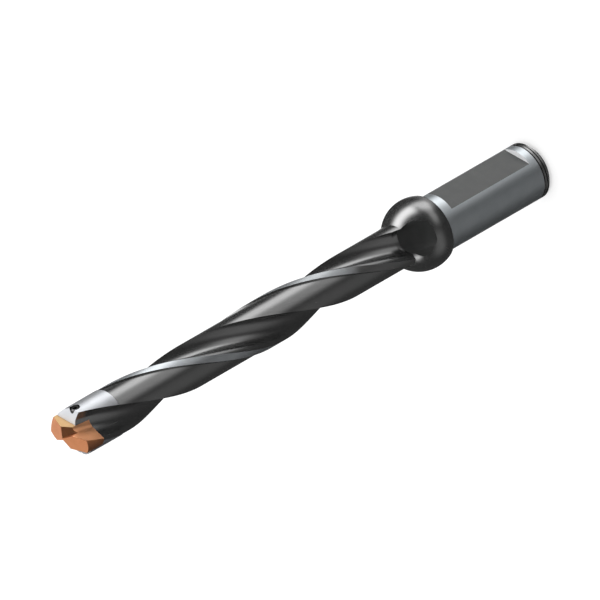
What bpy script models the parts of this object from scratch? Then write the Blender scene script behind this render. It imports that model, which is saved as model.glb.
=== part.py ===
"""Replaceable tip drill, modelled in metres.

A one-piece steel body has a plain shank with a clamping flat, a ball collar, a two-flute
stem and a slotted head. The cutting tip sits in the slot, and one screw runs through both
prongs of the head and the tip between them.

+Z is the tool axis, from the middle of the shank's end face to the point. +Y is square to
the clamping flat, and the blade of the cutting tip lies along X.
"""
import math

import bmesh
import bpy
from mathutils import Matrix, Vector

MM = 0.001

# Clearance kept where faces of two pieces meet
FIT_GAP = 0.3 * MM
# Length by which a cutter passes the face that it opens
OVERCUT = 2.0 * MM

# Shank
SHANK_DIAMETER = 20.0 * MM
SHANK_LENGTH = 48.1 * MM
SHANK_CHAMFER = 1.5 * MM
FLAT_START = 6.75 * MM
FLAT_LENGTH = 36.4 * MM
FLAT_DEPTH = 1.85 * MM
RING_GROOVE_STARTS = (2.1 * MM, 3.3 * MM)
RING_GROOVE_WIDTH = 0.5 * MM
RING_GROOVE_DEPTH = 0.35 * MM
INLET_DIAMETER = 5.0 * MM
INLET_DEPTH = 30.0 * MM
INLET_CHAMFER = 0.5 * MM
INLET_POINT_ANGLE = math.radians(118.0)

# Ball collar, cut flat at its back
COLLAR_DIAMETER = 25.2 * MM
COLLAR_CENTRE_TO_BACK = 4.6 * MM

# Stem and head, with the reach taken from the collar's back to the tip's corners
REACH = 166.4 * MM
STEM_DIAMETER = 16.5 * MM
LAND_CLEARANCE = 0.65 * MM
MARGIN_ANGLE = math.radians(17.0)
MARGIN_STEP_ANGLE = math.radians(3.0)
HEAD_DIAMETER = 16.8 * MM
HEAD_HEEL_RELIEF = 0.56 * MM
HEAD_LENGTH = 18.0 * MM
HEAD_STEP_LENGTH = 0.4 * MM

# Flutes: the section is drawn with the leading edge of a land on the X axis
FLUTE_LEAD = 144.6 * MM
FLUTE_CORNER = (0.38 * MM, 2.08 * MM)
FLUTE_FILLET = 2.8 * MM
HEEL_WALL_ANGLE = math.radians(87.3)
EDGE_FACET = 1.7 * MM
EDGE_FACET_ANGLE = math.radians(40.0)

# Run-out of the flutes into the collar
RUNOUT_START_FROM_CENTRE = 13.3 * MM
RUNOUT_RADIUS = 10.8 * MM
RUNOUT_STEP = 0.05 * MM

# Cutting tip
CUTTING_DIAMETER = 17.0 * MM
TIP_THICKNESS = 6.56 * MM
TIP_CORNER_HEIGHT = 7.9 * MM
POINT_ANGLE = math.radians(138.0)
FLANK_RELIEF_ANGLE = math.radians(9.6)
LIP_OFFSET = 2.2 * MM
TIP_LEADS_STEM_BY = math.radians(5.6)
CHISEL_OFFSET = 0.25 * MM
GASH_EDGE_ANGLE = math.radians(31.5)
GASH_WALL_DIRECTION = math.radians(51.4)
GASH_WALL_SLOPE = math.radians(51.7)

# Prongs
PRONG_SETBACK = 2.3 * MM
PRONG_FRONT_SLOPE = math.radians(18.9)

# Clamp screw
SCREW_DIRECTION = math.radians(106.5)
SCREW_BELOW_CORNER = 5.1 * MM
SCREW_DIAMETER = 2.2 * MM
SCREW_HEAD_DIAMETER = 2.9 * MM
SCREW_HEAD_LENGTH = 1.5 * MM
SCREW_HEAD_RECESS = 0.6 * MM
SCREW_END_RECESS = 0.5 * MM
SCREW_CHAMFER = 0.25 * MM
SOCKET_RADIUS = 0.85 * MM
SOCKET_LOBE = 0.14 * MM
SOCKET_LOBES = 6
SOCKET_DEPTH = 0.8 * MM

# Fineness of the mesh
TURN_STEPS = 48
SCREW_TURN_STEPS = 24
STEM_RING_SPACING = 2.4 * MM
TIP_RING_SPACING = 1.3 * MM
FLOOR_STEPS = 3
FILLET_STEPS = 5
WALL_STEPS = 3
LAND_STEPS = 5
MARGIN_STEPS = 2
LIP_STEPS = 4
BALL_STEPS = 12
RUNOUT_STEPS = 12
OUTER_ARC_STEPS = 6
SOCKET_STEPS = 24
MERGE_DISTANCE = 0.01 * MM

# Heights above the shank's end face
COLLAR_CENTRE_Z = SHANK_LENGTH + COLLAR_CENTRE_TO_BACK
CORNER_Z = SHANK_LENGTH + REACH
HEAD_Z = CORNER_Z - HEAD_LENGTH
SEAT_Z = CORNER_Z - TIP_CORNER_HEIGHT
PRONG_Z = CORNER_Z - PRONG_SETBACK
SCREW_Z = CORNER_Z - SCREW_BELOW_CORNER

# Slopes of the tip's flanks, and the height of its point on the axis
LIP_SLOPE = 1.0 / math.tan(POINT_ANGLE / 2.0)
RELIEF_SLOPE = math.tan(FLANK_RELIEF_ANGLE)
CORNER_ANGLE = math.asin(2.0 * LIP_OFFSET / CUTTING_DIAMETER)
CORNER_X = math.cos(CORNER_ANGLE) * CUTTING_DIAMETER / 2.0
POINT_Z = CORNER_Z + LIP_SLOPE * CORNER_X - RELIEF_SLOPE * LIP_OFFSET


def polar(radius, angle):
    """Point of the section at this radius and angle."""
    return Vector((radius * math.cos(angle), radius * math.sin(angle)))


def ray_to_radius(start, way, radius):
    """Point where a ray from inside a circle about the axis meets the circle."""
    along = start.dot(way)
    return start + way * (math.sqrt(along ** 2 + radius ** 2 - start.length_squared) - along)


def stem_angle(height):
    """Angle of the stem's first leading edge at this height, on a right-hand helix."""
    return CORNER_ANGLE - TIP_LEADS_STEM_BY + 2.0 * math.pi * (height - CORNER_Z) / FLUTE_LEAD


def raised(section, angle, height):
    """Section points turned about the axis and lifted to a height."""
    turn = Matrix.Rotation(angle, 3, 'Z')
    return [turn @ Vector((point.x, point.y, 0.0)) + Vector((0.0, 0.0, height)) for point in section]


def flute_fillet(corner, floor_way, wall_way):
    """Rounded corner of a flute, from its floor to its heel wall."""
    half = floor_way.angle(wall_way) / 2.0
    centre = corner + (floor_way + wall_way).normalized() * (FLUTE_FILLET / math.sin(half))
    spoke = corner + floor_way * (FLUTE_FILLET / math.tan(half)) - centre
    start = math.atan2(spoke.y, spoke.x)
    sweep = math.pi - 2.0 * half
    return [centre + polar(FLUTE_FILLET, start - sweep * step / FILLET_STEPS)
            for step in range(FILLET_STEPS + 1)]


def edge_facet_foot(radius):
    """Inner end of the narrow facet that starts at the leading edge."""
    return Vector((radius, 0.0)) + polar(EDGE_FACET, math.pi - EDGE_FACET_ANGLE)


def between(start, end, steps):
    """Points that divide a straight line into equal steps, without its ends."""
    return [start + (end - start) * step / steps for step in range(1, steps)]


def land_section(radius, clearance, relief):
    """Half of the stem's section: one flute, and the land behind it up to its leading edge.

    Behind the margin the land is lower by the clearance, and at its heel by the relief.
    """
    corner = Vector(FLUTE_CORNER)
    edge = Vector((radius, 0.0))
    foot = edge_facet_foot(radius)
    wall_way = polar(1.0, HEEL_WALL_ANGLE)
    fillet = flute_fillet(corner, (foot - corner).normalized(), wall_way)
    heel = ray_to_radius(corner, wall_way, radius - relief)
    section = [edge, foot] + between(foot, fillet[0], FLOOR_STEPS) + fillet
    section += between(fillet[-1], heel, WALL_STEPS) + [heel]
    heel_angle = math.atan2(heel.y, heel.x)
    margin_angle = math.pi - MARGIN_ANGLE
    land_angle = margin_angle - MARGIN_STEP_ANGLE - heel_angle
    for step in range(1, LAND_STEPS + 1):
        share = step / LAND_STEPS
        lower = clearance + (relief - clearance) * (1.0 - share) ** 2
        section.append(polar(radius - lower, heel_angle + land_angle * share))
    for step in range(MARGIN_STEPS):
        section.append(polar(radius, margin_angle + MARGIN_ANGLE * step / MARGIN_STEPS))
    return section


def stem_ring(radius, clearance, relief, height):
    """Whole section of the stem at a height: two equal halves."""
    half = land_section(radius, clearance, relief)
    angle = stem_angle(height)
    return raised(half, angle, height) + raised(half, angle + math.pi, height)


def stem_rings():
    """Rings of the stem and head, from inside the collar to above the prongs."""
    bottom = SHANK_LENGTH + FIT_GAP
    step_z = HEAD_Z - HEAD_STEP_LENGTH
    top = CORNER_Z
    stem_count = math.ceil((step_z - bottom) / STEM_RING_SPACING)
    head_count = math.ceil((top - HEAD_Z) / STEM_RING_SPACING)
    rings = []
    for i in range(stem_count + 1):
        height = bottom + (step_z - bottom) * i / stem_count
        rings.append(stem_ring(STEM_DIAMETER / 2.0, LAND_CLEARANCE, LAND_CLEARANCE, height))
    for i in range(head_count + 1):
        height = HEAD_Z + (top - HEAD_Z) * i / head_count
        rings.append(stem_ring(HEAD_DIAMETER / 2.0, 0.0, HEAD_HEEL_RELIEF, height))
    return rings


def runout_rings():
    """Rings of the cutter that carries a flute into the collar and lifts it out again."""
    corner = Vector(FLUTE_CORNER)
    foot = edge_facet_foot(STEM_DIAMETER / 2.0)
    wall_way = polar(1.0, HEEL_WALL_ANGLE)
    facet_way = polar(1.0, -EDGE_FACET_ANGLE)
    floor_way = (foot - corner).normalized()
    outer_radius = COLLAR_DIAMETER / 2.0 + OVERCUT
    facet_end = ray_to_radius(foot, facet_way, outer_radius)
    wall_end = ray_to_radius(corner, wall_way, outer_radius)
    arc_start = math.atan2(wall_end.y, wall_end.x)
    arc_end = math.atan2(facet_end.y, facet_end.x)
    section = [facet_end, foot] + flute_fillet(corner, floor_way, wall_way) + [wall_end]
    for step in range(1, OUTER_ARC_STEPS):
        arc_angle = arc_start + (arc_end - arc_start) * step / OUTER_ARC_STEPS
        section.append(polar(outer_radius + OVERCUT, arc_angle))
    lift_way = (floor_way + wall_way).normalized()
    start_z = COLLAR_CENTRE_Z + RUNOUT_START_FROM_CENTRE
    places = [(start_z + OVERCUT, 0.0)]
    for step in range(RUNOUT_STEPS + 1):
        turn = math.pi / 2.0 * step / RUNOUT_STEPS
        height = start_z - RUNOUT_RADIUS * math.sin(turn)
        places.append((height, RUNOUT_RADIUS * (1.0 - math.cos(turn))))
    rings = []
    for height, rise in reversed(places):
        lifted = [point + lift_way * (RUNOUT_STEP + rise) for point in section]
        rings.append(raised(lifted, stem_angle(height), height))
    return rings


def tip_flute_rings():
    """Rings of the cutter that makes one rake face of the tip and the flute beside it."""
    wall_angle = HEEL_WALL_ANGLE + stem_angle(CORNER_Z)
    wall_way = polar(1.0, wall_angle)
    stem_corner = Matrix.Rotation(stem_angle(CORNER_Z), 2) @ Vector(FLUTE_CORNER)
    corner = stem_corner + wall_way * ((LIP_OFFSET - stem_corner.y) / wall_way.y)
    lip_way = Vector((1.0, 0.0))
    far = CUTTING_DIAMETER / 2.0 + OVERCUT
    lip_end = Vector((far, LIP_OFFSET))
    fillet = flute_fillet(corner, lip_way, wall_way)
    section = [lip_end] + between(lip_end, fillet[0], LIP_STEPS) + fillet
    section += [ray_to_radius(corner, wall_way, far), Vector((far, far))]
    low = SEAT_Z - OVERCUT
    high = POINT_Z + OVERCUT
    count = math.ceil((high - low) / TIP_RING_SPACING)
    rings = []
    for i in range(count + 1):
        height = low + (high - low) * i / count
        turn = 2.0 * math.pi * (height - CORNER_Z) / FLUTE_LEAD
        rings.append(raised(section, turn, height))
    return rings


def blank_profile():
    """Turned outline of collar and shank, from the top of the ball down to the inlet."""
    ball = COLLAR_DIAMETER / 2.0
    shank = SHANK_DIAMETER / 2.0
    bore = INLET_DIAMETER / 2.0
    cut_angle = -math.asin(COLLAR_CENTRE_TO_BACK / ball)
    points = []
    for step in range(BALL_STEPS + 1):
        arc = math.pi / 2.0 + (cut_angle - math.pi / 2.0) * step / BALL_STEPS
        points.append((ball * math.cos(arc) if step else 0.0, COLLAR_CENTRE_Z + ball * math.sin(arc)))
    points.append((shank, SHANK_LENGTH))
    for start in sorted(RING_GROOVE_STARTS, reverse=True):
        floor = shank - RING_GROOVE_DEPTH
        points += [(shank, start + RING_GROOVE_WIDTH), (floor, start + RING_GROOVE_WIDTH)]
        points += [(floor, start), (shank, start)]
    points += [(shank, SHANK_CHAMFER), (shank - SHANK_CHAMFER, 0.0)]
    points += [(bore + INLET_CHAMFER, 0.0), (bore, INLET_CHAMFER), (bore, INLET_DEPTH)]
    points.append((0.0, INLET_DEPTH + bore / math.tan(INLET_POINT_ANGLE / 2.0)))
    return points


def screw_profile():
    """Turned outline of the screw about its own axis, from its head to its end."""
    top = HEAD_DIAMETER / 2.0 - SCREW_HEAD_RECESS
    under = top - SCREW_HEAD_LENGTH
    end = SCREW_END_RECESS - HEAD_DIAMETER / 2.0
    head = SCREW_HEAD_DIAMETER / 2.0
    stem = SCREW_DIAMETER / 2.0
    return [(0.0, top), (head - SCREW_CHAMFER, top), (head, top - SCREW_CHAMFER), (head, under),
            (stem, under), (stem, end + SCREW_CHAMFER), (stem - SCREW_CHAMFER, end), (0.0, end)]


def make_object(name, mesh, collection):
    """Object for a mesh, in a collection."""
    piece = bpy.data.objects.new(name, mesh)
    collection.objects.link(piece)
    return piece


def bmesh_object(name, shape, collection):
    """Object for a finished bmesh, which is freed."""
    mesh = bpy.data.meshes.new(name)
    shape.to_mesh(mesh)
    shape.free()
    return make_object(name, mesh, collection)


def turned(name, profile, steps, collection):
    """Solid of revolution about Z."""
    shape = bmesh.new()
    corners = [shape.verts.new((x, 0.0, z)) for x, z in profile]
    for upper, lower in zip(corners, corners[1:]):
        shape.edges.new((upper, lower))
    piece = bmesh_object(name, shape, collection)
    screw = piece.modifiers.new("turn", 'SCREW')
    screw.axis = 'Z'
    screw.steps = steps
    screw.render_steps = steps
    screw.use_merge_vertices = True
    screw.merge_threshold = MERGE_DISTANCE
    return piece


def lofted(name, rings, collection):
    """Closed solid through rings with equal numbers of points, lowest ring first."""
    shape = bmesh.new()
    loops = [[shape.verts.new(point) for point in ring] for ring in rings]
    for lower, upper in zip(loops, loops[1:]):
        for i, vert in enumerate(lower):
            j = (i + 1) % len(lower)
            shape.faces.new((vert, lower[j], upper[j], upper[i]))
    shape.faces.new(reversed(loops[0]))
    shape.faces.new(loops[-1])
    bmesh.ops.recalc_face_normals(shape, faces=shape.faces)
    bmesh.ops.triangulate(shape, faces=shape.faces)
    return bmesh_object(name, shape, collection)


def box(name, low, high, collection):
    """Box between two corners."""
    shape = bmesh.new()
    bmesh.ops.create_cube(shape, size=1.0)
    size = Vector(high) - Vector(low)
    middle = (Vector(high) + Vector(low)) / 2.0
    bmesh.ops.scale(shape, vec=size, verts=shape.verts)
    bmesh.ops.translate(shape, vec=middle, verts=shape.verts)
    return bmesh_object(name, shape, collection)


def rod(name, radius, low, high, collection):
    """Cylinder about Z between two heights."""
    shape = bmesh.new()
    middle = Matrix.Translation((0.0, 0.0, (low + high) / 2.0))
    bmesh.ops.create_cone(shape, cap_ends=True, segments=TURN_STEPS, radius1=radius, radius2=radius,
                          depth=high - low, matrix=middle)
    return bmesh_object(name, shape, collection)


def trim(shape, point, normal):
    """Cut away what lies beyond a plane, on the side that its normal points to."""
    everything = list(shape.verts) + list(shape.edges) + list(shape.faces)
    bmesh.ops.bisect_plane(shape, geom=everything, plane_co=point, plane_no=normal, clear_outer=True)
    rim = [edge for edge in shape.edges if edge.is_boundary]
    bmesh.ops.holes_fill(shape, edges=rim, sides=0)


def trim_object(piece, planes):
    """Trim an object's own mesh by planes, each a point and an outward normal."""
    shape = bmesh.new()
    shape.from_mesh(piece.data)
    for point, normal in planes:
        trim(shape, Vector(point), Vector(normal).normalized())
    shape.to_mesh(piece.data)
    shape.free()


def combine(piece, other, operation):
    """Boolean of a piece with another object."""
    boolean = piece.modifiers.new(other.name, 'BOOLEAN')
    boolean.operation = operation
    boolean.object = other


def half_turn_copy(piece, name, collection):
    """Second object with the same mesh, half a turn about Z from the first."""
    copy = make_object(name, piece.data, collection)
    copy.matrix_world = Matrix.Rotation(math.pi, 4, 'Z') @ piece.matrix_world
    return copy


def screw_frame():
    """Frame whose Z runs out along the screw's axis, towards its head."""
    place = Matrix.Translation((0.0, 0.0, SCREW_Z))
    return place @ Matrix.Rotation(SCREW_DIRECTION, 4, 'Z') @ Matrix.Rotation(math.pi / 2.0, 4, 'Y')


def steel(name, colour, roughness):
    """Metal surface."""
    material = bpy.data.materials.new(name)
    material.use_nodes = True
    shader = material.node_tree.nodes["Principled BSDF"]
    shader.inputs["Base Color"].default_value = (*colour, 1.0)
    shader.inputs["Metallic"].default_value = 1.0
    shader.inputs["Roughness"].default_value = roughness
    material.diffuse_color = (*colour, 1.0)
    return material


def settle(piece, material):
    """Apply a piece's modifiers, shade it smooth up to its sharp edges and give it its material."""
    depsgraph = bpy.context.evaluated_depsgraph_get()
    mesh = bpy.data.meshes.new_from_object(piece.evaluated_get(depsgraph))
    piece.modifiers.clear()
    piece.data = mesh
    mesh.name = piece.name
    mesh.shade_smooth()
    mesh.set_sharp_from_angle(angle=math.radians(30.0))
    mesh.materials.clear()
    mesh.materials.append(material)


def tip_slot(cutters):
    """Slot across the head for the tip."""
    half = TIP_THICKNESS / 2.0 + FIT_GAP
    far = HEAD_DIAMETER
    return box("slot_cutter", (-far, -half, SEAT_Z - FIT_GAP), (far, half, CORNER_Z + OVERCUT), cutters)


def prong_front(cutters):
    """Cutter for the sloped front of one prong."""
    far = HEAD_DIAMETER
    cutter = box("prong_front_cutter", (-far, -TIP_THICKNESS / 2.0, 0.0), (far, far, HEAD_LENGTH), cutters)
    place = Matrix.Translation((0.0, TIP_THICKNESS / 2.0, PRONG_Z))
    cutter.matrix_world = place @ Matrix.Rotation(-PRONG_FRONT_SLOPE, 4, 'X')
    return cutter


def shank_flat(cutters):
    """Clamping flat on the shank."""
    radius = SHANK_DIAMETER / 2.0
    low = (-radius, radius - FLAT_DEPTH, FLAT_START)
    high = (radius, radius + OVERCUT, FLAT_START + FLAT_LENGTH)
    return box("flat_cutter", low, high, cutters)


def screw_hole(cutters):
    """Hole for the screw through both prongs, widened for its head."""
    far = HEAD_DIAMETER / 2.0 + OVERCUT
    seat = HEAD_DIAMETER / 2.0 - SCREW_HEAD_RECESS - SCREW_HEAD_LENGTH - FIT_GAP
    through = SCREW_DIAMETER / 2.0 + FIT_GAP
    wide = SCREW_HEAD_DIAMETER / 2.0 + FIT_GAP
    profile = [(0.0, far), (wide, far), (wide, seat), (through, seat), (through, -far), (0.0, -far)]
    cutter = turned("screw_hole_cutter", profile, SCREW_TURN_STEPS, cutters)
    cutter.matrix_world = screw_frame()
    return cutter


def drill_body(parts, cutters):
    """Shank, collar, fluted stem and slotted head in one piece."""
    body = turned("drill_body", blank_profile(), TURN_STEPS, parts)
    stem = lofted("stem_blank", stem_rings(), cutters)
    combine(body, stem, 'UNION')
    runout = lofted("runout_cutter", runout_rings(), cutters)
    front = prong_front(cutters)
    cuts = [runout, half_turn_copy(runout, "runout_cutter_far", cutters), shank_flat(cutters),
            tip_slot(cutters), front, half_turn_copy(front, "prong_front_cutter_far", cutters),
            screw_hole(cutters)]
    for cutter in cuts:
        combine(body, cutter, 'DIFFERENCE')
    return body


def gash_cutter(cutters):
    """Wedge that thins the web ahead of one lip."""
    reach = CUTTING_DIAMETER
    wedge = box("gash_cutter", (-reach, -reach, SEAT_Z), (reach, reach, POINT_Z + OVERCUT), cutters)
    edge_normal = polar(1.0, GASH_EDGE_ANGLE + math.pi / 2.0)
    edge_point = edge_normal * CHISEL_OFFSET
    wall_run = polar(math.tan(GASH_WALL_SLOPE), GASH_WALL_DIRECTION)
    planes = [((edge_point.x, edge_point.y, POINT_Z), (-edge_normal.x, -edge_normal.y, 0.0)),
              ((0.0, 0.0, POINT_Z), (-wall_run.x, -wall_run.y, -1.0))]
    trim_object(wedge, planes)
    return wedge


def cutting_tip(parts, cutters):
    """Two-lip cutting tip: a round blade between two faces, with its flanks, rakes and gashes."""
    radius = CUTTING_DIAMETER / 2.0
    tip = rod("cutting_tip", radius, SEAT_Z, POINT_Z + OVERCUT, parts)
    half = TIP_THICKNESS / 2.0
    planes = [((0.0, half, 0.0), (0.0, 1.0, 0.0)), ((0.0, -half, 0.0), (0.0, -1.0, 0.0)),
              ((0.0, 0.0, POINT_Z), (LIP_SLOPE, -RELIEF_SLOPE, 1.0)),
              ((0.0, 0.0, POINT_Z), (-LIP_SLOPE, RELIEF_SLOPE, 1.0))]
    trim_object(tip, planes)
    rake = lofted("rake_cutter", tip_flute_rings(), cutters)
    gash = gash_cutter(cutters)
    cuts = [rake, half_turn_copy(rake, "rake_cutter_far", cutters),
            gash, half_turn_copy(gash, "gash_cutter_far", cutters)]
    hole = rod("tip_hole_cutter", SCREW_DIAMETER / 2.0 + FIT_GAP, -radius, radius, cutters)
    hole.matrix_world = screw_frame()
    for cutter in cuts + [hole]:
        combine(tip, cutter, 'DIFFERENCE')
    return tip


def socket_cutter(cutters):
    """Six-lobed socket in the screw's head."""
    top = HEAD_DIAMETER / 2.0 - SCREW_HEAD_RECESS
    rings = []
    for height in (top - SOCKET_DEPTH, top + OVERCUT):
        ring = []
        for step in range(SOCKET_STEPS):
            angle = 2.0 * math.pi * step / SOCKET_STEPS
            flat = polar(SOCKET_RADIUS + SOCKET_LOBE * math.cos(SOCKET_LOBES * angle), angle)
            ring.append(Vector((flat.x, flat.y, height)))
        rings.append(ring)
    return lofted("socket_cutter", rings, cutters)


def clamp_screw(parts, cutters):
    """Screw that clamps the tip between the prongs."""
    screw = turned("clamp_screw", screw_profile(), SCREW_TURN_STEPS, parts)
    screw.matrix_world = screw_frame()
    socket = socket_cutter(cutters)
    socket.matrix_world = screw_frame()
    combine(screw, socket, 'DIFFERENCE')
    return screw


def main():
    for old in list(bpy.data.objects):
        bpy.data.objects.remove(old, do_unlink=True)
    parts = bpy.data.collections.new("replaceable_tip_drill")
    cutters = bpy.data.collections.new("cutters")
    bpy.context.scene.collection.children.link(parts)
    bpy.context.scene.collection.children.link(cutters)

    body = drill_body(parts, cutters)
    tip = cutting_tip(parts, cutters)
    screw = clamp_screw(parts, cutters)
    for cutter in cutters.objects:
        cutter.hide_render = True
        cutter.display_type = 'WIRE'

    settle(body, steel("dark_steel", (0.045, 0.047, 0.046), 0.3))
    settle(tip, steel("coated_carbide", (0.62, 0.28, 0.12), 0.35))
    settle(screw, steel("screw_steel", (0.12, 0.12, 0.12), 0.4))


main()
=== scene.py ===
"""Looks of the replaceable tip drill: finer meshes, surfaces, studio and camera.

Each piece stands where its CAD node stands. Lengths are in metres.
"""

import math

import bmesh
import bpy
from mathutils import Matrix, Vector


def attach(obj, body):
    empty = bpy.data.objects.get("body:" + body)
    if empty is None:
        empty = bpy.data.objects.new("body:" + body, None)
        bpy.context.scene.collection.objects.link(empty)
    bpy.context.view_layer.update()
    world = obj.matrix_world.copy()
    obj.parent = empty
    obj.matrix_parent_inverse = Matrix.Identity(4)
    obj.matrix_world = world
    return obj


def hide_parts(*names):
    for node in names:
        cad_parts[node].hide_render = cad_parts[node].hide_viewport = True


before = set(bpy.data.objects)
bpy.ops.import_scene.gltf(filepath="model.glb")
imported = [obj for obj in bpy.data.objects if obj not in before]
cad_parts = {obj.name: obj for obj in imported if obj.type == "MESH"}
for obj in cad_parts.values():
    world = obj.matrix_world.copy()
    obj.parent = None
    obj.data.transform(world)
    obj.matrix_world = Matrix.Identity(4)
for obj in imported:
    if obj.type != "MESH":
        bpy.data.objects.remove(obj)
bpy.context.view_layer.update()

MM = 0.001
MICRON = 0.001 * MM

# Clearance where faces of two pieces meet, and length by which a cutter passes what it opens
FIT_GAP = 0.3 * MM
OVERCUT = 2.0 * MM

# Shank
SHANK_DIAMETER = 20.0 * MM
SHANK_LENGTH = 48.1 * MM
SHANK_CHAMFER = 1.5 * MM
FLAT_START = 6.75 * MM
FLAT_LENGTH = 36.4 * MM
FLAT_DEPTH = 1.85 * MM
RING_GROOVE_STARTS = (2.1 * MM, 3.3 * MM)
RING_GROOVE_WIDTH = 0.5 * MM
RING_GROOVE_DEPTH = 0.35 * MM
INLET_DIAMETER = 5.0 * MM
INLET_DEPTH = 30.0 * MM
INLET_CHAMFER = 0.5 * MM
INLET_POINT_ANGLE = math.radians(118.0)

# Ball collar, cut flat at its back
COLLAR_DIAMETER = 25.2 * MM
COLLAR_CENTRE_TO_BACK = 4.6 * MM

# Stem and head, with the reach taken from the collar's back to the tip's corners
REACH = 166.4 * MM
STEM_DIAMETER = 16.5 * MM
LAND_CLEARANCE = 0.65 * MM
MARGIN_ANGLE = math.radians(17.0)
MARGIN_STEP_ANGLE = math.radians(3.0)
HEAD_DIAMETER = 16.8 * MM
HEAD_HEEL_RELIEF = 0.56 * MM
HEAD_LENGTH = 18.0 * MM
HEAD_STEP_LENGTH = 0.4 * MM

# Flutes: the section is drawn with the leading edge of a land on the X axis
FLUTE_LEAD = 144.6 * MM
FLUTE_CORNER = (0.38 * MM, 2.08 * MM)
FLUTE_FILLET = 2.8 * MM
HEEL_WALL_ANGLE = math.radians(87.3)
EDGE_FACET = 1.7 * MM
EDGE_FACET_ANGLE = math.radians(40.0)

# Run-out of the flutes into the collar
RUNOUT_START_FROM_CENTRE = 13.3 * MM
RUNOUT_RADIUS = 10.8 * MM
RUNOUT_STEP = 0.05 * MM

# Cutting tip
CUTTING_DIAMETER = 17.0 * MM
TIP_THICKNESS = 6.56 * MM
TIP_CORNER_HEIGHT = 7.9 * MM
POINT_ANGLE = math.radians(138.0)
FLANK_RELIEF_ANGLE = math.radians(9.6)
LIP_OFFSET = 2.2 * MM
TIP_LEADS_STEM_BY = math.radians(5.6)
CHISEL_OFFSET = 0.25 * MM
GASH_EDGE_ANGLE = math.radians(31.5)
GASH_WALL_DIRECTION = math.radians(51.4)
GASH_WALL_SLOPE = math.radians(51.7)

# Prongs
PRONG_SETBACK = 2.3 * MM
PRONG_FRONT_SLOPE = math.radians(18.9)

# Clamp screw
SCREW_DIRECTION = math.radians(106.5)
SCREW_BELOW_CORNER = 5.1 * MM
SCREW_DIAMETER = 2.2 * MM
SCREW_HEAD_DIAMETER = 2.9 * MM
SCREW_HEAD_LENGTH = 1.5 * MM
SCREW_HEAD_RECESS = 0.6 * MM
SCREW_END_RECESS = 0.5 * MM
SCREW_CHAMFER = 0.25 * MM
SOCKET_RADIUS = 0.85 * MM
SOCKET_LOBE = 0.14 * MM
SOCKET_LOBES = 6
SOCKET_DEPTH = 0.8 * MM

# Heights above the shank's end face
COLLAR_CENTRE_Z = SHANK_LENGTH + COLLAR_CENTRE_TO_BACK
CORNER_Z = SHANK_LENGTH + REACH
HEAD_Z = CORNER_Z - HEAD_LENGTH
SEAT_Z = CORNER_Z - TIP_CORNER_HEIGHT
PRONG_Z = CORNER_Z - PRONG_SETBACK
SCREW_Z = CORNER_Z - SCREW_BELOW_CORNER

# Slopes of the tip's flanks, and the height of its point on the axis
LIP_SLOPE = 1.0 / math.tan(POINT_ANGLE / 2.0)
RELIEF_SLOPE = math.tan(FLANK_RELIEF_ANGLE)
CORNER_ANGLE = math.asin(2.0 * LIP_OFFSET / CUTTING_DIAMETER)
CORNER_X = math.cos(CORNER_ANGLE) * CUTTING_DIAMETER / 2.0
POINT_Z = CORNER_Z + LIP_SLOPE * CORNER_X - RELIEF_SLOPE * LIP_OFFSET

# The sizes above are the solids' own. The ones below are finer than the solids are.

# The round ball would pass the box of the faceted one by a hair
COLLAR_EASE = 0.016 * MM

# Flute section: a round floor that leans over towards the heel, and a slightly domed edge
# facet, both within about half a millimetre of the solid's straight walls
FLUTE_FLOOR_CENTRE = (5.07 * MM, 5.71 * MM)
FLUTE_FLOOR_RADIUS = 4.73 * MM
FLOOR_TO_HEEL_ANGLE = math.radians(10.0)
HEEL_RADIUS = 5.2 * MM
FACET_DOME_ANGLE = math.radians(15.0)

# A flute keeps this share of the stem's twist while it lifts out of the collar, where the
# solid keeps all of it. Its end, a pocket in the ball whose dull surface is painted shade, starts
# at this rise.
RUNOUT_TWIST_SHARE = 0.3
POCKET_RISE = 0.35 * MM

# Margins, with lengths measured back from the tip's corners: bright steel at first, which
# fades to a duller stretch, and that to black. Both fades have ragged edges.
BRIGHT_MARGIN_LENGTH = 87.0 * MM
MARGIN_DULLING_LENGTH = 15.0 * MM
DULL_MARGIN_LENGTH = 119.5 * MM
MARGIN_FADE_LENGTH = 6.5 * MM
DULL_MARGIN_SHARE = 0.65
FADE_RAGGEDNESS = 5.0 * MM

# Seam seen between the tip and its slot, which the solids keep wider apart
SEAM = 0.05 * MM

# Fineness of the visible meshes
TURN_STEPS = 160
SCREW_TURN_STEPS = 64
STEM_RING_SPACING = 0.95 * MM
TIP_RING_SPACING = 0.4 * MM
FACET_STEPS = 6
FLOOR_STEPS = 3
ROUND_STEPS = 20
HEEL_STEPS = 8
FILLET_STEPS = 10
WALL_STEPS = 6
LAND_STEPS = 16
MARGIN_STEPS = 5
LIP_STEPS = 10
BALL_STEPS = 48
RUNOUT_STEPS = 36
OUTER_ARC_STEPS = 12
SOCKET_STEPS = 72
SMOOTH_ANGLE = math.radians(24.0)

# Least part of a face's normal along an axis for a face that is square to it
SQUARE = 0.99

# Order of the body's surfaces
# FLAT_END carries a painted highlight, and POCKET painted shade
OXIDE, SHANK_STEEL, FLAT_STEEL, FLAT_END, HEAD_STEEL, MARGIN_STEEL, POCKET = range(7)

# Order of the tip's surfaces
# RAKE is a lighter and FACE a yellower copy of the coating: painted highlight
COATING, RAKE, FACE = range(3)


def polar(radius, angle):
    """Point of the section at this radius and angle."""
    return Vector((radius * math.cos(angle), radius * math.sin(angle)))


def ray_to_radius(start, way, radius):
    """Point where a ray from inside a circle about the axis meets the circle."""
    along = start.dot(way)
    return start + way * (math.sqrt(along ** 2 + radius ** 2 - start.length_squared) - along)


def stem_angle(height):
    """Angle of the stem's first leading edge at this height, on a right-hand helix."""
    return CORNER_ANGLE - TIP_LEADS_STEM_BY + 2.0 * math.pi * (height - CORNER_Z) / FLUTE_LEAD


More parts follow.
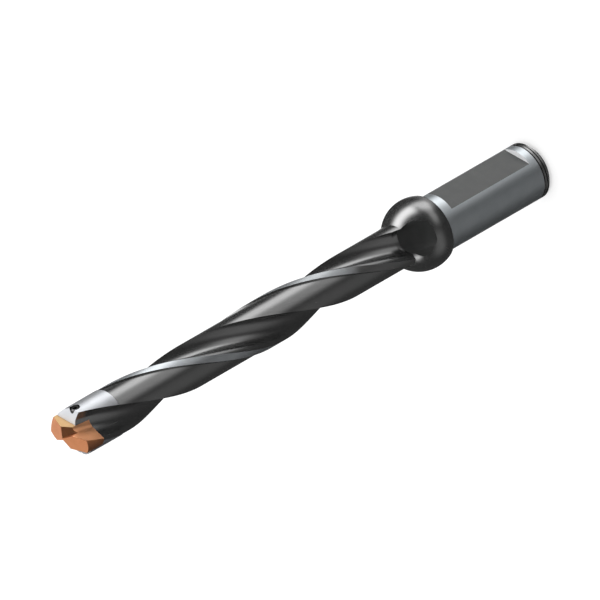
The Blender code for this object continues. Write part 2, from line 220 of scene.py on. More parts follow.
def raised(section, angle, height):
    """Section points turned about the axis and lifted to a height."""
    turn = Matrix.Rotation(angle, 3, 'Z')
    lift = Vector((0.0, 0.0, height))
    return [turn @ Vector((point.x, point.y, 0.0)) + lift for point in section]


def between(start, end, steps):
    """Points that divide a straight line into equal steps, without its ends."""
    return [start + (end - start) * step / steps for step in range(1, steps)]


def arc(centre, radius, start, end, steps):
    """Points of an arc, with both ends."""
    angles = [start + (end - start) * step / steps for step in range(steps + 1)]
    return [centre + polar(radius, angle) for angle in angles]


def edge_facet(radius):
    """Domed facet from the leading edge inwards."""
    middle = math.pi / 2.0 - EDGE_FACET_ANGLE
    dome = EDGE_FACET / 2.0 / math.sin(FACET_DOME_ANGLE)
    start = middle - FACET_DOME_ANGLE
    centre = Vector((radius, 0.0)) - polar(dome, start)
    return arc(centre, dome, start, middle + FACET_DOME_ANGLE, FACET_STEPS)


def flute_side(radius, heel_radius, leaning=True):
    """Side of the flute, from the leading edge to a heel that leans over or stands straight."""
    facet = edge_facet(radius)
    centre = Vector(FLUTE_FLOOR_CENTRE)
    floor_end = FLOOR_TO_HEEL_ANGLE - math.pi
    floor = arc(centre, FLUTE_FLOOR_RADIUS, -math.pi / 2.0, floor_end, ROUND_STEPS)
    if leaning:
        upper = floor[-1] + polar(HEEL_RADIUS, FLOOR_TO_HEEL_ANGLE)
        squares = upper.length_squared + HEEL_RADIUS ** 2 - heel_radius ** 2
        spread = math.acos(squares / (2.0 * HEEL_RADIUS * upper.length))
        heel_angle = math.atan2(upper.y, upper.x) - spread
        wall = arc(upper, HEEL_RADIUS, floor_end, heel_angle - math.pi, HEEL_STEPS)[1:]
    else:
        heel = ray_to_radius(Vector(FLUTE_CORNER), polar(1.0, HEEL_WALL_ANGLE), heel_radius)
        wall = between(floor[-1], heel, HEEL_STEPS) + [heel]
    return facet + between(facet[-1], floor[0], FLOOR_STEPS) + floor + wall


def land_section(radius, clearance, relief, land, margin, leaning):
    """Half of the stem's section, with the surface of the side that starts at each point."""
    section = flute_side(radius, radius - relief, leaning)
    heel = section[-1]
    surfaces = [OXIDE] * (len(section) - 1) + [land]
    heel_angle = math.atan2(heel.y, heel.x)
    margin_angle = math.pi - MARGIN_ANGLE
    land_angle = margin_angle - MARGIN_STEP_ANGLE - heel_angle
    for step in range(1, LAND_STEPS + 1):
        share = step / LAND_STEPS
        lower = clearance + (relief - clearance) * (1.0 - share) ** 2
        section.append(polar(radius - lower, heel_angle + land_angle * share))
        surfaces.append(land)
    for step in range(MARGIN_STEPS):
        section.append(polar(radius, margin_angle + MARGIN_ANGLE * step / MARGIN_STEPS))
        surfaces.append(margin)
    return section, surfaces


def helix_rings(half_section, low, high):
    """Rings of a two-flute stretch between two heights."""
    count = math.ceil((high - low) / STEM_RING_SPACING)
    rings = []
    for i in range(count + 1):
        height = low + (high - low) * i / count
        angle = stem_angle(height)
        ring = raised(half_section, angle, height)
        rings.append(ring + raised(half_section, angle + math.pi, height))
    return rings


def stem_rings():
    """Rings of the stem and head, with the surfaces of the bands between them."""
    stem, stem_surfaces = land_section(
        STEM_DIAMETER / 2.0, LAND_CLEARANCE, LAND_CLEARANCE, OXIDE, MARGIN_STEEL, True)
    head, head_surfaces = land_section(
        HEAD_DIAMETER / 2.0, 0.0, HEAD_HEEL_RELIEF, HEAD_STEEL, HEAD_STEEL, False)
    lower = helix_rings(stem, COLLAR_CENTRE_Z, HEAD_Z - HEAD_STEP_LENGTH)
    upper = helix_rings(head, HEAD_Z, CORNER_Z)
    surfaces = [stem_surfaces * 2] * (len(lower) - 1) + [head_surfaces * 2] * len(upper)
    return lower + upper, surfaces


def runout_rings():
    """Rings of the cutter that carries a flute into the collar and lifts it out again."""
    radius = STEM_DIAMETER / 2.0
    side = flute_side(radius, radius - LAND_CLEARANCE)
    wall_way = polar(1.0, HEEL_WALL_ANGLE)
    floor_way = (side[FACET_STEPS] - Vector(FLUTE_CORNER)).normalized()
    outer_radius = COLLAR_DIAMETER / 2.0 + OVERCUT
    facet_end = ray_to_radius(side[0], polar(1.0, -EDGE_FACET_ANGLE), outer_radius)
    wall_end = ray_to_radius(side[-1], wall_way, outer_radius)
    arc_start = math.atan2(wall_end.y, wall_end.x)
    arc_end = math.atan2(facet_end.y, facet_end.x)
    section = [facet_end] + between(facet_end, side[0], WALL_STEPS) + side
    section += between(side[-1], wall_end, WALL_STEPS) + [wall_end]
    axis = Vector((0.0, 0.0))
    section += arc(axis, outer_radius + OVERCUT, arc_start, arc_end, OUTER_ARC_STEPS)[1:-1]
    lift_way = (floor_way + wall_way).normalized()
    start_z = COLLAR_CENTRE_Z + RUNOUT_START_FROM_CENTRE
    start_angle = stem_angle(start_z)
    places = [(start_z + OVERCUT, 0.0)]
    for step in range(RUNOUT_STEPS + 1):
        turn = math.pi / 2.0 * step / RUNOUT_STEPS
        height = start_z - RUNOUT_RADIUS * math.sin(turn)
        places.append((height, RUNOUT_RADIUS * (1.0 - math.cos(turn))))
    rings = []
    surfaces = []
    for height, rise in reversed(places):
        lifted = [point + lift_way * (RUNOUT_STEP + rise) for point in section]
        share = RUNOUT_TWIST_SHARE if height < start_z else 1.0
        angle = start_angle + share * (stem_angle(height) - start_angle)
        rings.append(raised(lifted, angle, height))
        # Past the pocket's start, the faces take the dull surface of painted shade
        surfaces.append([POCKET if rise > POCKET_RISE else OXIDE] * len(section))
    return rings, surfaces


def tip_flute_rings():
    """Rings of the cutter that makes one rake face of the tip and the flute beside it."""
    lead_in = stem_angle(CORNER_Z)
    centre = Matrix.Rotation(lead_in, 2) @ Vector(FLUTE_FLOOR_CENTRE)
    middle_y = LIP_OFFSET + FLUTE_FILLET
    aside = math.sqrt((FLUTE_FLOOR_RADIUS - FLUTE_FILLET) ** 2 - (middle_y - centre.y) ** 2)
    middle = Vector((centre.x - aside, middle_y))
    meeting = math.atan2(middle.y - centre.y, middle.x - centre.x)
    floor_end = FLOOR_TO_HEEL_ANGLE - math.pi + lead_in
    far = CUTTING_DIAMETER / 2.0 + OVERCUT
    lip_end = Vector((far, LIP_OFFSET))
    fillet = arc(middle, FLUTE_FILLET, -math.pi / 2.0, meeting, FILLET_STEPS)
    wall = arc(centre, FLUTE_FLOOR_RADIUS, meeting, floor_end, WALL_STEPS)
    section = [lip_end] + between(lip_end, fillet[0], LIP_STEPS) + fillet + wall[1:]
    section += [Vector((wall[-1].x, far)), Vector((far, far))]
    low = SEAT_Z - OVERCUT
    high = POINT_Z + OVERCUT
    count = math.ceil((high - low) / TIP_RING_SPACING)
    rings = []
    for i in range(count + 1):
        height = low + (high - low) * i / count
        twist = 2.0 * math.pi * (height - CORNER_Z) / FLUTE_LEAD
        rings.append(raised(section, twist, height))
    # The rake faces take the lighter coating of painted highlight
    return rings, [[RAKE] * len(section)] * count


def blank_profile():
    """Outline of collar and shank from the ball's top to the inlet, and each side's surface."""
    ball = COLLAR_DIAMETER / 2.0 - COLLAR_EASE
    shank = SHANK_DIAMETER / 2.0
    bore = INLET_DIAMETER / 2.0
    cut_angle = -math.asin(COLLAR_CENTRE_TO_BACK / ball)
    points = [(0.0, COLLAR_CENTRE_Z + ball)]
    for step in range(1, BALL_STEPS + 1):
        angle = math.pi / 2.0 + (cut_angle - math.pi / 2.0) * step / BALL_STEPS
        points.append((ball * math.cos(angle), COLLAR_CENTRE_Z + ball * math.sin(angle)))
    surfaces = [OXIDE] * BALL_STEPS + [SHANK_STEEL] * 2
    points.append((shank, SHANK_LENGTH))
    floor = shank - RING_GROOVE_DEPTH
    for start in sorted(RING_GROOVE_STARTS, reverse=True):
        end = start + RING_GROOVE_WIDTH
        points += [(shank, end), (floor, end), (floor, start), (shank, start)]
        surfaces += [OXIDE] * 4
    points += [(shank, SHANK_CHAMFER), (shank - SHANK_CHAMFER, 0.0)]
    surfaces += [OXIDE, SHANK_STEEL]
    points += [(bore + INLET_CHAMFER, 0.0), (bore, INLET_CHAMFER), (bore, INLET_DEPTH)]
    surfaces += [SHANK_STEEL, OXIDE, OXIDE]
    points.append((0.0, INLET_DEPTH + bore / math.tan(INLET_POINT_ANGLE / 2.0)))
    return points, surfaces


def screw_profile():
    """Outline of the screw about its own axis, from its head to its end."""
    top = HEAD_DIAMETER / 2.0 - SCREW_HEAD_RECESS
    under = top - SCREW_HEAD_LENGTH
    end = SCREW_END_RECESS - HEAD_DIAMETER / 2.0
    head = SCREW_HEAD_DIAMETER / 2.0
    stem = SCREW_DIAMETER / 2.0
    return [(0.0, top), (head - SCREW_CHAMFER, top), (head, top - SCREW_CHAMFER), (head, under),
            (stem, under), (stem, end + SCREW_CHAMFER), (stem - SCREW_CHAMFER, end), (0.0, end)]


def make_object(name, mesh, place=None):
    """Object for a mesh, in the scene."""
    piece = bpy.data.objects.new(name, mesh)
    bpy.context.scene.collection.objects.link(piece)
    if place is not None:
        piece.matrix_world = place
    return piece


def bmesh_object(name, shape, place=None):
    """Object for a finished bmesh, which is freed."""
    mesh = bpy.data.meshes.new(name)
    shape.to_mesh(mesh)
    shape.free()
    return make_object(name, mesh, place)


def turned(name, profile, steps, surfaces=None, place=None):
    """Solid of revolution about Z through (radius, height) points, top down on its outside."""
    shape = bmesh.new()
    rows = []
    for radius, height in profile:
        if radius == 0.0:
            ring = [Vector((0.0, 0.0))]
        else:
            ring = [polar(radius, 2.0 * math.pi * i / steps) for i in range(steps)]
        rows.append([shape.verts.new((point.x, point.y, height)) for point in ring])
    for row, (upper, lower) in enumerate(zip(rows, rows[1:])):
        for i in range(steps):
            j = (i + 1) % steps
            corners = [upper[i % len(upper)], lower[i % len(lower)],
                       lower[j % len(lower)], upper[j % len(upper)]]
            face = shape.faces.new(list(dict.fromkeys(corners)))
            face.material_index = surfaces[row] if surfaces else 0
    bmesh.ops.recalc_face_normals(shape, faces=shape.faces)
    return bmesh_object(name, shape, place)


def lofted(name, rings, surfaces=None, place=None):
    """Closed solid through rings with equal numbers of points, lowest ring first."""
    shape = bmesh.new()
    loops = [[shape.verts.new(point) for point in ring] for ring in rings]
    for row, (lower, upper) in enumerate(zip(loops, loops[1:])):
        for i, vert in enumerate(lower):
            j = (i + 1) % len(lower)
            face = shape.faces.new((vert, lower[j], upper[j], upper[i]))
            face.material_index = surfaces[row][i] if surfaces else 0
    shape.faces.new(reversed(loops[0]))
    shape.faces.new(loops[-1])
    bmesh.ops.recalc_face_normals(shape, faces=shape.faces)
    return bmesh_object(name, shape, place)


def box(name, low, high, surface=0, place=None):
    """Box between two corners."""
    shape = bmesh.new()
    bmesh.ops.create_cube(shape, size=1.0)
    size = Vector(high) - Vector(low)
    middle = (Vector(high) + Vector(low)) / 2.0
    bmesh.ops.scale(shape, vec=size, verts=shape.verts)
    bmesh.ops.translate(shape, vec=middle, verts=shape.verts)
    for face in shape.faces:
        face.material_index = surface
    return bmesh_object(name, shape, place)


def trim(piece, planes):
    """Cut away what lies beyond each plane, given as a point and an outward normal."""
    shape = bmesh.new()
    shape.from_mesh(piece.data)
    for point, normal in planes:
        everything = list(shape.verts) + list(shape.edges) + list(shape.faces)
        bmesh.ops.bisect_plane(shape, geom=everything, plane_co=Vector(point),
                               plane_no=Vector(normal).normalized(), clear_outer=True)
        rim = [edge for edge in shape.edges if edge.is_boundary]
        bmesh.ops.holes_fill(shape, edges=rim, sides=0)
    shape.to_mesh(piece.data)
    shape.free()


def half_turned(piece):
    """Second object with the same mesh, half a turn about Z from the first."""
    place = Matrix.Rotation(math.pi, 4, 'Z') @ piece.matrix_world
    return make_object(piece.name + "_far", piece.data, place)


def carve(piece, joins, cuts, materials):
    """Join to a piece and cut from it, then leave it as one mesh with its materials."""
    for other in joins + cuts:
        boolean = piece.modifiers.new(other.name, 'BOOLEAN')
        boolean.operation = 'UNION' if other in joins else 'DIFFERENCE'
        boolean.object = other
        boolean.material_mode = 'INDEX'
    for item in [piece] + joins + cuts:
        if not item.data.materials:
            for material in materials:
                item.data.materials.append(material)
    depsgraph = bpy.context.evaluated_depsgraph_get()
    mesh = bpy.data.meshes.new_from_object(piece.evaluated_get(depsgraph))
    piece.modifiers.clear()
    mesh.transform(piece.matrix_world)
    piece.matrix_world = Matrix.Identity(4)
    piece.data = mesh
    mesh.name = piece.name
    for other in joins + cuts:
        bpy.data.objects.remove(other, do_unlink=True)
    mesh.shade_smooth()
    mesh.set_sharp_from_angle(angle=SMOOTH_ANGLE)
    normals = piece.modifiers.new("even_normals", 'WEIGHTED_NORMAL')
    normals.keep_sharp = True
    return piece


def screw_frame():
    """Frame whose Z runs out along the screw's axis, towards its head."""
    place = Matrix.Translation((0.0, 0.0, SCREW_Z)) @ Matrix.Rotation(SCREW_DIRECTION, 4, 'Z')
    return place @ Matrix.Rotation(math.pi / 2.0, 4, 'Y')


def body_piece(materials):
    """Shank, collar, fluted stem and slotted head."""
    profile, surfaces = blank_profile()
    body = turned("body_steel", profile, TURN_STEPS, surfaces)
    rings, surfaces = stem_rings()
    stem = lofted("stem_blank", rings, surfaces)
    rings, surfaces = runout_rings()
    runout = lofted("runout_cutter", rings, surfaces)

    radius = SHANK_DIAMETER / 2.0
    flat = box("flat_cutter", (-radius, radius - FLAT_DEPTH, FLAT_START),
               (radius, radius + OVERCUT, FLAT_START + FLAT_LENGTH))
    # The flat's end walls take the near-white surface of painted highlight
    flat.data.polygons.foreach_set("material_index", [
        FLAT_END if abs(face.normal.z) > SQUARE else FLAT_STEEL for face in flat.data.polygons])
    half = TIP_THICKNESS / 2.0
    far = HEAD_DIAMETER
    slot = box("slot_cutter", (-far, -half - SEAM, SEAT_Z - SEAM),
               (far, half + SEAM, CORNER_Z + OVERCUT), HEAD_STEEL)
    place = Matrix.Translation((0.0, half, PRONG_Z)) @ Matrix.Rotation(-PRONG_FRONT_SLOPE, 4, 'X')
    front = box("prong_front_cutter", (-far, -half, 0.0), (far, far, HEAD_LENGTH),
                HEAD_STEEL, place)

    out = HEAD_DIAMETER / 2.0 + OVERCUT
    seat = HEAD_DIAMETER / 2.0 - SCREW_HEAD_RECESS - SCREW_HEAD_LENGTH - FIT_GAP
    through = SCREW_DIAMETER / 2.0 + FIT_GAP
    wide = SCREW_HEAD_DIAMETER / 2.0 + FIT_GAP
    outline = [(0.0, out), (wide, out), (wide, seat),
               (through, seat), (through, -out), (0.0, -out)]
    hole = turned("screw_hole_cutter", outline, SCREW_TURN_STEPS, place=screw_frame())
    cuts = [runout, half_turned(runout), flat, slot, front, half_turned(front), hole]
    return carve(body, [stem], cuts, materials)


def tip_piece(materials):
    """Cutting tip: a round blade between two faces, with its flanks, rakes and gashes."""
    radius = CUTTING_DIAMETER / 2.0
    high = POINT_Z + OVERCUT
    outline = [(0.0, high), (radius, high), (radius, SEAT_Z), (0.0, SEAT_Z)]
    tip = turned("tip_carbide", outline, TURN_STEPS)
    half = TIP_THICKNESS / 2.0
    trim(tip, [((0.0, half, 0.0), (0.0, 1.0, 0.0)), ((0.0, -half, 0.0), (0.0, -1.0, 0.0)),
               ((0.0, 0.0, POINT_Z), (LIP_SLOPE, -RELIEF_SLOPE, 1.0)),
               ((0.0, 0.0, POINT_Z), (-LIP_SLOPE, RELIEF_SLOPE, 1.0))])
    # Faces square to Y take the yellower coating, a painted highlight tint
    tip.data.polygons.foreach_set("material_index", [
        FACE if abs(face.normal.y) > SQUARE else COATING for face in tip.data.polygons])
    rings, surfaces = tip_flute_rings()
    rake = lofted("rake_cutter", rings, surfaces)

    reach = CUTTING_DIAMETER
    gash = box("gash_cutter", (-reach, -reach, SEAT_Z), (reach, reach, high))
    edge_normal = polar(1.0, GASH_EDGE_ANGLE + math.pi / 2.0)
    edge_point = edge_normal * CHISEL_OFFSET
    wall_run = polar(math.tan(GASH_WALL_SLOPE), GASH_WALL_DIRECTION)
    trim(gash, [((edge_point.x, edge_point.y, POINT_Z), (-edge_normal.x, -edge_normal.y, 0.0)),
                ((0.0, 0.0, POINT_Z), (-wall_run.x, -wall_run.y, -1.0))])

    through = SCREW_DIAMETER / 2.0 + FIT_GAP
    outline = [(0.0, radius), (through, radius), (through, -radius), (0.0, -radius)]
    hole = turned("tip_hole_cutter", outline, SCREW_TURN_STEPS, place=screw_frame())
    return carve(tip, [], [rake, half_turned(rake), gash, half_turned(gash), hole], materials)


def screw_piece(materials):
    """Clamp screw with its six-lobed socket."""
    screw = turned("screw_steel", screw_profile(), SCREW_TURN_STEPS, place=screw_frame())
    top = HEAD_DIAMETER / 2.0 - SCREW_HEAD_RECESS
    outline = []
    for step in range(SOCKET_STEPS):
        angle = 2.0 * math.pi * step / SOCKET_STEPS
        outline.append(polar(SOCKET_RADIUS + SOCKET_LOBE * math.cos(SOCKET_LOBES * angle), angle))
    rings = [raised(outline, 0.0, top - SOCKET_DEPTH), raised(outline, 0.0, top + OVERCUT)]
    socket = lofted("socket_cutter", rings, place=screw_frame())
    return carve(screw, [], [socket], materials)


class Nodes:
    """Node tree under construction, with short calls for its nodes."""

    def __init__(self, tree):
        self.tree = tree

    def node(self, kind, **values):
        """Node with its properties set."""
        made = self.tree.nodes.new(kind)
        for key, value in values.items():
            setattr(made, key, value)
        return made

    def join(self, output, target):
        """Link between two sockets."""
        self.tree.links.new(output, target)

    def put(self, target, value):
        """Link to a socket, or its plain value."""
        if hasattr(value, "links"):
            self.join(value, target)
        else:
            target.default_value = value

    def math(self, operation, first, second=0.0, third=None):
        """Result of a Math node."""
        made = self.node("ShaderNodeMath", operation=operation)
        self.put(made.inputs[0], first)
        self.put(made.inputs[1], second)
        if third is not None:
            self.put(made.inputs[2], third)
        return made.outputs[0]

    def ramp(self, value, low, high, out_low, out_high):
        """Value moved smoothly from one range to another, clamped."""
        made = self.node("ShaderNodeMapRange", interpolation_type='SMOOTHSTEP')
        self.join(value, made.inputs["Value"])
        made.inputs["From Min"].default_value = low
        made.inputs["From Max"].default_value = high
        made.inputs["To Min"].default_value = out_low
        made.inputs["To Max"].default_value = out_high
        return made.outputs["Result"]

    def along(self, vector, axis):
        """Part of a vector along an axis."""
        made = self.node("ShaderNodeVectorMath", operation='DOT_PRODUCT')
        self.join(vector, made.inputs[0])
        made.inputs[1].default_value = axis
        return made.outputs["Value"]


class Surface(Nodes):
    """Material under construction."""

    def __init__(self, name):
        self.material = bpy.data.materials.new(name)
        self.material.use_nodes = True
        super().__init__(self.material.node_tree)
        self.shader = self.tree.nodes["Principled BSDF"]

    def position(self):
        """Place on the part, in metres."""
        return self.node("ShaderNodeTexCoord").outputs["Object"]

    def height(self, vector):
        """Z of a place."""
        parts = self.node("ShaderNodeSeparateXYZ")
        self.join(vector, parts.inputs[0])
        return parts.outputs["Z"]

    def stretched(self, vector, scale):
        """Coordinates scaled along each axis."""
        made = self.node("ShaderNodeMapping")
        self.join(vector, made.inputs["Vector"])
        made.inputs["Scale"].default_value = scale
        return made.outputs["Vector"]

    def untwisted(self, vector):
        """Coordinates turned back along the flutes' helix, so that Z runs along a flute."""
        turn = self.node("ShaderNodeVectorRotate", rotation_type='Z_AXIS')
        self.join(vector, turn.inputs["Vector"])
        angle = self.math('MULTIPLY', self.height(vector), -2.0 * math.pi / FLUTE_LEAD)
        self.join(angle, turn.inputs["Angle"])
        return turn.outputs["Vector"]

    def noise(self, vector, scale, detail):
        """Value of a Noise texture."""
        made = self.node("ShaderNodeTexNoise")
        self.join(vector, made.inputs["Vector"])
        made.inputs["Scale"].default_value = scale
        made.inputs["Detail"].default_value = detail
        made.inputs["Roughness"].default_value = NOISE_ROUGHNESS
        return made.outputs[0]

    def blend(self, factor, first, second):
        """Mix of two colours."""
        made = self.node("ShaderNodeMix", data_type='RGBA')
        self.join(factor, made.inputs["Factor"])
        for target, colour in ((made.inputs[6], first), (made.inputs[7], second)):
            self.put(target, colour if hasattr(colour, "links") else (*colour, 1.0))
        return made.outputs[2]

    def bump(self, height, distance):
        """Normal bumped by a height."""
        made = self.node("ShaderNodeBump")
        self.join(height, made.inputs["Height"])
        made.inputs["Strength"].default_value = 1.0
        made.inputs["Distance"].default_value = distance
        return made.outputs["Normal"]


# Blotches of every metal, in cycles a metre, and the range of noise over which they change
CLOUD_SCALE = 220.0
CLOUD_DETAIL = 4.0
CLOUD_RANGE = (0.3, 0.7)
MARKS_DETAIL = 2.0
NOISE_ROUGHNESS = 0.55

# Marks by the way a surface is made: scale along each axis, and cycles a metre. Those along
# a flute also follow its helix.
ALONG_FLUTE = ((1.0, 1.0, 0.05), 1600.0)
AROUND_AXIS = ((0.06, 0.06, 1.0), 2600.0)
ACROSS_FLAT = ((0.05, 1.0, 1.0), 1800.0)
ACROSS_TIP = ((1.0, 0.08, 0.3), 2400.0)
EVEN = ((1.0, 1.0, 1.0), 2400.0)

OXIDE_COLOURS = ((0.0095, 0.0100, 0.0097), (0.0125, 0.0130, 0.0127))
OXIDE_IOR = 2.45
# Low reflection for the pocket, which paints shade into that recess
DULL_IOR = 1.25
PLAIN_IOR = 1.5

# Steps in which a margin turns from black to bright: start, end, and the share gained there
DULL_MARGIN_END = CORNER_Z - DULL_MARGIN_LENGTH
BRIGHT_MARGIN_END = CORNER_Z - BRIGHT_MARGIN_LENGTH
MARGIN_FADE = (
    (DULL_MARGIN_END - MARGIN_FADE_LENGTH, DULL_MARGIN_END, DULL_MARGIN_SHARE),
    (BRIGHT_MARGIN_END - MARGIN_DULLING_LENGTH, BRIGHT_MARGIN_END, 1.0 - DULL_MARGIN_SHARE))


def metal(name, colours, roughness, marks, depth, metallic=1.0, ior=PLAIN_IOR, fade=None):
    """Ground or blackened metal: blotchy colour, uneven gloss and fine marks.

    A fade gives the steps in which black oxide turns into this metal along the part.
    """
    surface = Surface(name)
    shader = surface.shader
    place = surface.position()
    lay = surface.untwisted(place) if marks is ALONG_FLUTE else place
    scale, fineness = marks
    cloud = surface.noise(place, CLOUD_SCALE, CLOUD_DETAIL)
    grain = surface.noise(surface.stretched(lay, scale), fineness, MARKS_DETAIL)
    colour = surface.blend(surface.ramp(cloud, *CLOUD_RANGE, 0.0, 1.0), *colours)
    uneven = surface.math('MULTIPLY_ADD', grain, roughness[1] - roughness[0], roughness[0])
    if fade is None:
        shader.inputs["Metallic"].default_value = metallic
    else:
        ragged = surface.math('MULTIPLY_ADD', cloud, FADE_RAGGEDNESS, surface.height(place))
        bright = 0.0
        for start, end, share in fade:
            bright = surface.math('ADD', surface.ramp(ragged, start, end, 0.0, share), bright)
        colour = surface.blend(bright, OXIDE_COLOURS[1], colour)
        surface.join(surface.math('MULTIPLY', bright, metallic), shader.inputs["Metallic"])
    surface.join(colour, shader.inputs["Base Color"])
    surface.join(uneven, shader.inputs["Roughness"])
    surface.join(surface.bump(grain, depth), shader.inputs["Normal"])
    shader.inputs["IOR"].default_value = ior
    return surface.material


oxide = metal("black_oxide", OXIDE_COLOURS, (0.20, 0.30), ALONG_FLUTE, 0.4 * MICRON,
              metallic=0.0, ior=OXIDE_IOR)
# Pocket of the run-out: oxide with little reflection, painted shade in the recess
pocket = metal("pocket_painted_shade", ((0.020, 0.0207, 0.0203), (0.025, 0.0257, 0.0253)), (0.5, 0.6),
               ALONG_FLUTE, 0.4 * MICRON, metallic=0.0, ior=DULL_IOR)
shank_steel = metal("ground_shank", ((0.44, 0.47, 0.49), (0.47, 0.50, 0.52)), (0.38, 0.44),
                    AROUND_AXIS, 0.3 * MICRON)
flat_steel = metal("milled_flat", ((0.0575, 0.0605, 0.0595), (0.0665, 0.069, 0.068)),
                   (0.42, 0.55), ACROSS_FLAT, 0.6 * MICRON, metallic=0.0)
# End walls of the flat: near-white, a painted highlight, made brighter still against the shade in
# that corner
flat_end = metal("flat_end_painted_highlight", ((0.88, 0.885, 0.90), (0.92, 0.925, 0.94)), (0.5, 0.6),
                 AROUND_AXIS, 0.4 * MICRON, metallic=0.0)
head_steel = metal("ground_head", ((0.495, 0.507, 0.528), (0.535, 0.548, 0.57)), (0.42, 0.50),
                   AROUND_AXIS, 0.6 * MICRON)
margin_steel = metal("ground_margin", ((0.46, 0.485, 0.505), (0.50, 0.525, 0.545)),
                     (0.36, 0.44), AROUND_AXIS, 0.4 * MICRON, ior=OXIDE_IOR, fade=MARGIN_FADE)
coating = metal("copper_coating", ((0.59, 0.235, 0.105), (0.65, 0.27, 0.125)), (0.34, 0.42),
                ACROSS_TIP, 0.6 * MICRON)
# Rake faces: a lighter copy of the coating, a painted highlight
rake_coating = metal("rake_painted_highlight", ((0.92, 0.44, 0.22), (0.97, 0.48, 0.25)), (0.40, 0.48),
                     ACROSS_TIP, 0.6 * MICRON)
# Flat faces of the blade: a yellower copy of the coating, tinted as a highlight tints it: painted
# highlight
face_coating = metal("face_painted_highlight", ((0.43, 0.268, 0.125), (0.465, 0.30, 0.148)), (0.34, 0.42),
                     ACROSS_TIP, 0.6 * MICRON)
screw_metal = metal("dark_screw", ((0.08, 0.08, 0.08), (0.14, 0.14, 0.14)), (0.28, 0.45),
                    EVEN, 1.0 * MICRON)

body = body_piece([oxide, shank_steel, flat_steel, flat_end, head_steel, margin_steel, pocket])
tip = tip_piece([coating, rake_coating, face_coating])
screw = screw_piece([screw_metal])
for piece, node, slot in ((body, "drill_body", "dark_steel"),
                          (tip, "cutting_tip", "coated_carbide"),
                          (screw, "clamp_screw", "screw_steel")):
    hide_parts(node)
    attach(piece, "root")


# Panels by azimuth, elevation and lean in degrees, half width, half height, softness of
# the sides and of the top and bottom as sines of angles, and strength
PANELS = [
    (132.0, 16.0, -27.0, 0.26, 0.54, 0.15, 0.16, 5.0),
    (119.0, -36.0, 0.0, 0.27, 0.25, 0.16, 0.08, 2.7),
    (76.0, -36.0, 0.0, 0.38, 0.17, 0.24, 0.08, 1.1),
    (-8.0, -20.0, 0.0, 0.52, 0.26, 0.26, 0.18, 0.38),
    (-150.0, -42.0, 0.0, 0.24, 0.10, 0.08, 0.08, 0.6),
    (150.0, -56.0, 0.0, 0.34, 0.14, 0.08, 0.08, 0.6),
    (128.0, -54.0, 0.0, 0.42, 0.14, 0.16, 0.10, 0.15),
    (-54.0, 34.0, 0.0, 0.16, 0.11, 0.08, 0.08, 4.0),
    (-128.0, 27.0, 29.0, 0.55, 0.22, 0.10, 0.10, 1.37),
    (180.0, 66.0, 0.0, 0.45, 0.45, 0.20, 0.20, 1.75),
]
ROOM_GLOW = 0.08
WHITE = (1.0, 1.0, 1.0, 1.0)


def panel_glow(sky, way, place, size, softness, strength):
    """Brightness of one soft-edged panel in the direction that a ray goes."""
    azimuth, elevation, lean = (math.radians(angle) for angle in place)
    turn = Matrix.Rotation(azimuth, 3, 'Z') @ Matrix.Rotation(-elevation, 3, 'Y')
    out, side, up = (turn @ Matrix.Rotation(lean, 3, 'X')).transposed()
    glow = sky.math('MULTIPLY', sky.math('GREATER_THAN', sky.along(way, out), 0.0), strength)
    for axis, half, soft in zip((side, up), size, softness):
        aside = sky.math('ABSOLUTE', sky.along(way, axis))
        glow = sky.math('MULTIPLY', glow, sky.ramp(aside, half - soft, half + soft, 1.0, 0.0))
    return glow


def studio_world():
    """White surroundings, which shiny surfaces see as soft panels in a dim room."""
    world = bpy.data.worlds.new("studio")
    bpy.context.scene.world = world
    world.use_nodes = True
    sky = Nodes(world.node_tree)
    sky.tree.nodes.clear()
    way = sky.node("ShaderNodeTexCoord").outputs["Generated"]
    total = ROOM_GLOW
    for *place, half_width, half_height, soft_side, soft_top, strength in PANELS:
        glow = panel_glow(sky, way, place, (half_width, half_height), (soft_side, soft_top),
                          strength)
        total = sky.math('ADD', glow, total)
    plain = sky.node("ShaderNodeBackground")
    plain.inputs["Color"].default_value = WHITE
    panels = sky.node("ShaderNodeBackground")
    sky.join(total, panels.inputs["Color"])
    mix = sky.node("ShaderNodeMixShader")
    sky.join(sky.node("ShaderNodeLightPath").outputs["Is Glossy Ray"], mix.inputs[0])
    sky.join(plain.outputs[0], mix.inputs[1])
    sky.join(panels.outputs[0], mix.inputs[2])
    sky.join(mix.outputs[0], sky.node("ShaderNodeOutputWorld").inputs["Surface"])
    world.cycles.sampling_method = 'NONE'


studio_world()

# Floor, which glows a little for the camera alone
FLOOR_HALF_WIDTH = 6.0
FLOOR_DROP = 0.1 * MM
FLOOR_COLOUR = (0.60, 0.60, 0.60, 1.0)
FLOOR_ROUGHNESS = 0.9
FLOOR_GLOW = 0.5


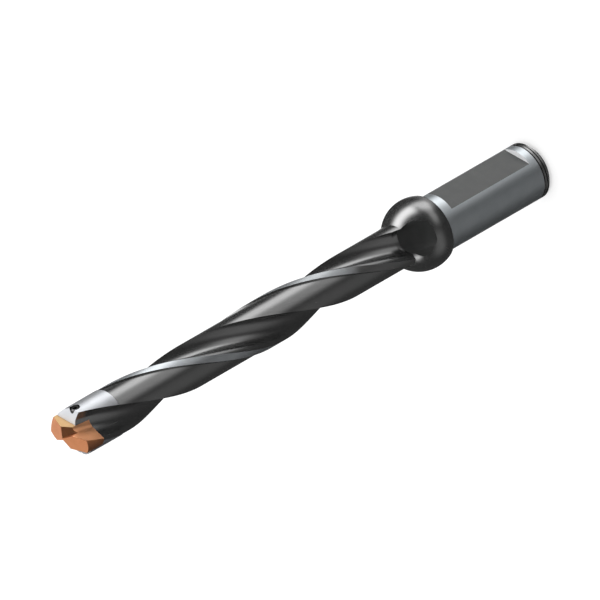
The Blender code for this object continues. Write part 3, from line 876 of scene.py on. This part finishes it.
def floor_piece():
    """Pale floor under the shank's end."""
    shape = bmesh.new()
    bmesh.ops.create_grid(shape, x_segments=1, y_segments=1, size=FLOOR_HALF_WIDTH)
    floor = bmesh_object("floor", shape, Matrix.Translation((0.0, 0.0, -FLOOR_DROP)))
    surface = Surface("pale_floor")
    shader = surface.shader
    shader.inputs["Base Color"].default_value = FLOOR_COLOUR
    shader.inputs["Roughness"].default_value = FLOOR_ROUGHNESS
    shader.inputs["Specular IOR Level"].default_value = 0.0
    glow = surface.node("ShaderNodeEmission")
    seen = surface.node("ShaderNodeLightPath").outputs["Is Camera Ray"]
    surface.join(surface.math('MULTIPLY', seen, FLOOR_GLOW), glow.inputs["Strength"])
    both = surface.node("ShaderNodeAddShader")
    surface.join(shader.outputs[0], both.inputs[0])
    surface.join(glow.outputs[0], both.inputs[1])
    surface.join(both.outputs[0], surface.tree.nodes["Material Output"].inputs["Surface"])
    floor.data.materials.append(surface.material)
    floor.visible_glossy = False


floor_piece()

LAMP_SIDE = 1.6
LAMP_WATTS = 6.0
LAMP_HEIGHT = 1.8


def overhead_lamp():
    """Large soft lamp above the part."""
    light = bpy.data.lights.new("overhead", 'AREA')
    light.shape = 'SQUARE'
    light.size = LAMP_SIDE
    light.energy = LAMP_WATTS
    lamp = bpy.data.objects.new("overhead", light)
    bpy.context.scene.collection.objects.link(lamp)
    lamp.location = (0.0, 0.0, LAMP_HEIGHT)
    lamp.visible_glossy = False


overhead_lamp()

# Camera: lens and sensor in millimetres, as Blender takes them
LENS = 1700.0
SENSOR = 36.0
NEAR_END = 0.1
FAR_END = 60.0
FRAME_WIDTH = 196.72 * MM
VIEW_WAY = (1.0, 1.0, 1.0)
VIEW_UP = (0.0, 1.0, 0.0)
VIEW_CENTRE = (-0.624 * MM, 0.303 * MM, 107.301 * MM)


def camera():
    """Long lens at the photo's angle, with the tool's axis rising to the right by 30 degrees."""
    data = bpy.data.cameras.new("camera")
    data.lens = LENS
    data.sensor_width = SENSOR
    data.clip_start = NEAR_END
    data.clip_end = FAR_END
    cam = bpy.data.objects.new("camera", data)
    bpy.context.scene.collection.objects.link(cam)
    back = Vector(VIEW_WAY).normalized()
    right = Vector(VIEW_UP).cross(back).normalized()
    up = back.cross(right)
    turn = Matrix((right, up, back)).transposed().to_4x4()
    distance = FRAME_WIDTH * LENS / SENSOR
    cam.matrix_world = Matrix.Translation(Vector(VIEW_CENTRE) + back * distance) @ turn
    bpy.context.scene.camera = cam


camera()

scene = bpy.context.scene
scene.view_settings.view_transform = 'Standard'
